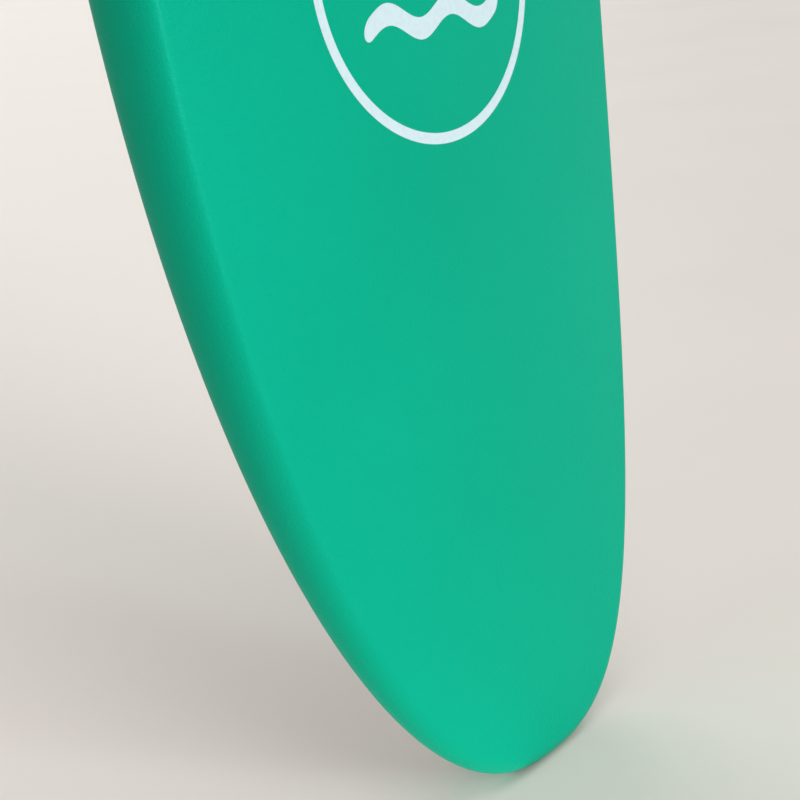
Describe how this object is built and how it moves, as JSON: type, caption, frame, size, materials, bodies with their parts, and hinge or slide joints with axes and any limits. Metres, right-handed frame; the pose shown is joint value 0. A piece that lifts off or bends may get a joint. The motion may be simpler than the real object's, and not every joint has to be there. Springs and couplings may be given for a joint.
{
  "type": "surfboard",
  "caption": "Soft-top surfboard on its nose: stringered foam core, soft deck skin, slick bottom skin, removable fins in screw-clamped boxes and a leash cup.",
  "frame": {"origin": "middle of the board's box in plan, at the level of the nose tip, which stands on the floor", "axes": "+X across the board, +Y out of the bottom so that the deck faces -Y, +Z from nose to tail"},
  "size_m": [0.56, 0.2508, 1.981],
  "materials": {
    "deck_foam": "matte, fine-grained closed-cell foam skin in mid green",
    "deck_print": "pale ink printed on the foam skin",
    "slick_skin": "satin white slick sheet with faint long scuffs",
    "core_foam": "expanded bead foam",
    "timber": "plain sawn softwood",
    "hard_foam": "dense rigid foam",
    "box_plastic": "moulded satin nylon",
    "fin_plastic": "moulded satin dark plastic",
    "steel": "satin stainless steel"
  },
  "bodies": {
    "board": {"deck_skin": "deck_foam", "bottom_skin": "slick_skin", "core_left": "core_foam", "core_centre": "core_foam", "core_right": "core_foam", "stringer_left": "timber", "stringer_right": "timber", "fin_block_left": "hard_foam", "fin_box_left": "box_plastic", "fin_screw_left_front": "steel", "fin_screw_left_back": "steel", "fin_block_right": "hard_foam", "fin_box_right": "box_plastic", "fin_screw_right_front": "steel", "fin_screw_right_back": "steel", "fin_block_centre": "hard_foam", "fin_box_centre": "box_plastic", "fin_screw_centre_front": "steel", "fin_screw_centre_back": "steel", "leash_block": "hard_foam", "leash_cup": "box_plastic", "leash_pin": "steel"},
    "fin_left": {"fin_left": "fin_plastic"},
    "fin_right": {"fin_right": "fin_plastic"},
    "fin_centre": {"fin_centre": "fin_plastic"}
  },
  "joints": [
    {"name": "fin_left_slide", "type": "slide", "parent": "board", "child": "fin_left", "axis": [0, 0.9982, 0.0601], "range_m": [0, 0.015]},
    {"name": "fin_right_slide", "type": "slide", "parent": "board", "child": "fin_right", "axis": [0, 0.9982, 0.0601], "range_m": [0, 0.015]},
    {"name": "fin_centre_slide", "type": "slide", "parent": "board", "child": "fin_centre", "axis": [0, 0.9953, 0.0971], "range_m": [0, 0.015]}
  ]
}
